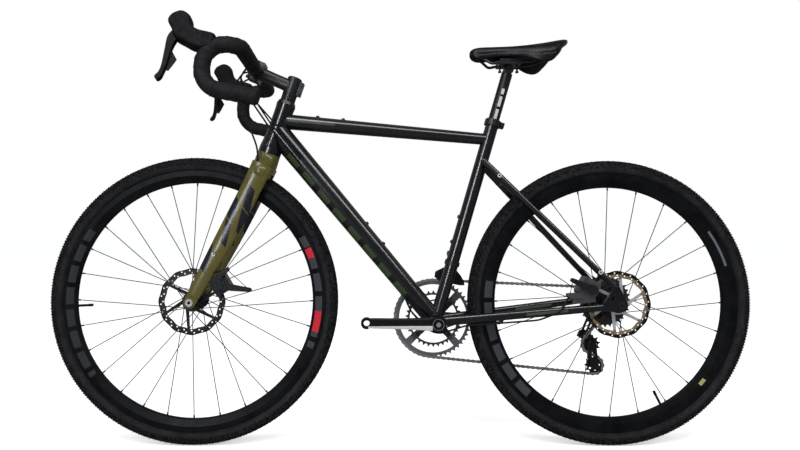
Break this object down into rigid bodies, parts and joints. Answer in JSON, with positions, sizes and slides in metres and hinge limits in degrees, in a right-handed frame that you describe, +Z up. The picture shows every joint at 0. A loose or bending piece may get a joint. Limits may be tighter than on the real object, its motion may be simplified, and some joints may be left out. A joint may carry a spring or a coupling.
{
  "type": "gravel bike",
  "caption": "Gravel bike with drop bars, disc brakes, double chainring and derailleurs; steering, wheels, drivetrain, levers and seatpost move.",
  "frame": {"origin": "on the ground under the middle of the wheelbase, in the wheels' plane", "axes": "+X to the rear, +Y to the drive side, +Z up"},
  "size_m": [1.714, 0.5378, 0.9944],
  "materials": {
    "frame_paint": "gloss",
    "fork_paint": "gloss",
    "black_alloy": "satin black",
    "bright_steel": "bright",
    "drive_steel": "satin",
    "rotor_steel": "ground",
    "tyre": "matte",
    "bar_tape": "matte",
    "saddle_cover": "satin",
    "housing": "satin"
  },
  "bodies": {
    "frame": {"head_tube": "frame_paint", "top_tube": "frame_paint", "down_tube": "frame_paint", "seat_tube": "frame_paint", "bottom_bracket_shell": "frame_paint", "chainstays": "frame_paint", "seatstays": "frame_paint", "dropouts": "frame_paint", "seat_clamp": "black_alloy", "bottom_bracket_cups": "black_alloy", "headset_bearings": "bright_steel", "frame_bosses": "bright_steel", "rear_thru_axle": "bright_steel", "front_derailleur_mount": "black_alloy", "rear_brake_caliper": "black_alloy", "rd_mount_knuckle": "black_alloy", "chain": "drive_steel", "control_cables": "housing"},
    "steering": {"fork": "fork_paint", "headset_spacers": "black_alloy", "stem": "black_alloy", "stem_faceplate": "black_alloy", "handlebar": "black_alloy", "bar_tape": "bar_tape", "lever_hoods": "bar_tape", "front_brake_caliper": "black_alloy", "front_thru_axle": "bright_steel", "front_brake_cable": "housing"},
    "brake_lever_left": {"brake_lever_left": "black_alloy"},
    "shift_paddle_left": {"shift_paddle_left": "housing"},
    "brake_lever_right": {"brake_lever_right": "black_alloy"},
    "shift_paddle_right": {"shift_paddle_right": "housing"},
    "front_wheel": {"front_tyre": "tyre", "front_rim": "black_alloy", "front_spokes": "bright_steel", "front_hub": "black_alloy", "front_rotor": "rotor_steel"},
    "rear_wheel": {"rear_tyre": "tyre", "rear_rim": "black_alloy", "rear_spokes": "bright_steel", "rear_hub": "black_alloy", "rear_rotor": "rotor_steel"},
    "cassette": {"cassette": "drive_steel"},
    "crankset": {"crank_right": "black_alloy", "crank_left": "black_alloy", "outer_chainring": "drive_steel", "inner_chainring": "drive_steel"},
    "rd_links": {"rd_links": "black_alloy"},
    "rd_cage_knuckle": {"rd_cage_knuckle": "black_alloy"},
    "rd_cage": {"rd_cage": "drive_steel"},
    "rd_guide_pulley": {"rd_guide_pulley": "housing"},
    "rd_tension_pulley": {"rd_tension_pulley": "housing"},
    "fd_link": {"fd_link": "black_alloy"},
    "fd_cage": {"fd_cage": "drive_steel"},
    "front_brake_arm": {"front_brake_arm": "drive_steel"},
    "rear_brake_arm": {"rear_brake_arm": "drive_steel"},
    "seat": {"seatpost": "black_alloy", "saddle_clamp": "black_alloy", "saddle_rails": "bright_steel", "saddle": "saddle_cover"}
  },
  "joints": [
    {"name": "steering_turn", "type": "hinge", "parent": "frame", "child": "steering", "pos_m": [-0.33272, 0, 0.70898], "axis": [0.3173, 0, 0.9483], "range_deg": [-65, 65], "deforming": ["control_cables"]},
    {"name": "front_wheel_spin", "type": "hinge", "parent": "steering", "child": "front_wheel", "pos_m": [-0.508, 0, 0.349], "axis": [0, -1, 0], "continuous": true},
    {"name": "rear_wheel_spin", "type": "hinge", "parent": "frame", "child": "rear_wheel", "pos_m": [0.508, 0, 0.349], "axis": [0, -1, 0], "continuous": true},
    {"name": "crank_spin", "type": "hinge", "parent": "frame", "child": "crankset", "pos_m": [0.08, 0, 0.3], "axis": [0, -1, 0], "continuous": true, "deforming": ["chain"]},
    {"name": "cassette_spin", "type": "hinge", "parent": "frame", "child": "cassette", "pos_m": [0.508, 0, 0.349], "axis": [0, -1, 0], "continuous": true},
    {"name": "rear_derailleur_swing", "type": "hinge", "parent": "frame", "child": "rd_links", "pos_m": [0.497, 0.092, 0.296], "axis": [0.8455, 0, -0.534], "range_deg": [-34, 18], "stiffness_Nm_per_rad": 0.6},
    {"name": "rear_derailleur_parallel", "type": "hinge", "parent": "rd_links", "child": "rd_cage_knuckle", "pos_m": [0.473, 0.074, 0.258], "axis": [0.8455, 0, -0.534], "range_deg": [-18, 34]},
    {"name": "rear_cage_swing", "type": "hinge", "parent": "rd_cage_knuckle", "child": "rd_cage", "pos_m": [0.478, 0.06, 0.25], "axis": [0, 1, 0], "range_deg": [-30, 45], "stiffness_Nm_per_rad": 0.8},
    {"name": "guide_pulley_spin", "type": "hinge", "parent": "rd_cage", "child": "rd_guide_pulley", "pos_m": [0.48149, 0.0465, 0.23586], "axis": [0, -1, 0], "continuous": true},
    {"name": "tension_pulley_spin", "type": "hinge", "parent": "rd_cage", "child": "rd_tension_pulley", "pos_m": [0.4896, 0.0465, 0.18354], "axis": [0, -1, 0], "continuous": true},
    {"name": "front_derailleur_swing", "type": "hinge", "parent": "frame", "child": "fd_link", "pos_m": [0.126, 0.03, 0.464], "axis": [1, 0, 0], "range_deg": [-16, 3], "stiffness_Nm_per_rad": 0.6},
    {"name": "front_derailleur_parallel", "type": "hinge", "parent": "fd_link", "child": "fd_cage", "pos_m": [0.126, 0.036, 0.438], "axis": [1, 0, 0], "range_deg": [-3, 16]},
    {"name": "left_lever_pull", "type": "hinge", "parent": "steering", "child": "brake_lever_left", "pos_m": [-0.502, -0.2171, 0.93749], "axis": [0, -0.9703, 0.2419], "range_deg": [0, 22], "stiffness_Nm_per_rad": 1.2, "springref_deg": -11.46},
    {"name": "right_lever_pull", "type": "hinge", "parent": "steering", "child": "brake_lever_right", "pos_m": [-0.502, 0.2171, 0.93749], "axis": [0, -0.9703, -0.2419], "range_deg": [0, 22], "stiffness_Nm_per_rad": 1.2, "springref_deg": -11.46},
    {"name": "left_paddle_press", "type": "hinge", "parent": "brake_lever_left", "child": "shift_paddle_left", "pos_m": [-0.5117, -0.23089, 0.88218], "axis": [0.1888, 0.2376, 0.9528], "range_deg": [0, 14], "stiffness_Nm_per_rad": 0.3, "springref_deg": -5.73},
    {"name": "right_paddle_press", "type": "hinge", "parent": "brake_lever_right", "child": "shift_paddle_right", "pos_m": [-0.5117, 0.23089, 0.88218], "axis": [-0.1888, 0.2376, -0.9528], "range_deg": [0, 14], "stiffness_Nm_per_rad": 0.3, "springref_deg": -5.73},
    {"name": "front_brake_arm_pull", "type": "hinge", "parent": "steering", "child": "front_brake_arm", "pos_m": [-0.44114, -0.058, 0.38917], "axis": [0, -1, 0], "range_deg": [0, 10.5], "deforming": ["front_brake_cable"]},
    {"name": "rear_brake_arm_pull", "type": "hinge", "parent": "frame", "child": "rear_brake_arm", "pos_m": [0.43913, -0.078, 0.38562], "axis": [0, -1, 0], "range_deg": [0, 10.5]},
    {"name": "seatpost_height", "type": "slide", "parent": "frame", "child": "seat", "axis": [0.2788, 0, 0.9603], "range_m": [-0.06, 0.04]}
  ],
  "couplings": [
    {"joint": "cassette_spin", "follows": "crank_spin", "ratio": 3.2},
    {"joint": "guide_pulley_spin", "follows": "crank_spin", "ratio": -4.3636},
    {"joint": "tension_pulley_spin", "follows": "crank_spin", "ratio": 4.3636},
    {"joint": "rear_derailleur_parallel", "follows": "rear_derailleur_swing", "ratio": -1},
    {"joint": "front_derailleur_parallel", "follows": "front_derailleur_swing", "ratio": -1},
    {"joint": "front_brake_arm_pull", "follows": "left_lever_pull", "ratio": 0.45454},
    {"joint": "rear_brake_arm_pull", "follows": "right_lever_pull", "ratio": 0.45454}
  ]
}
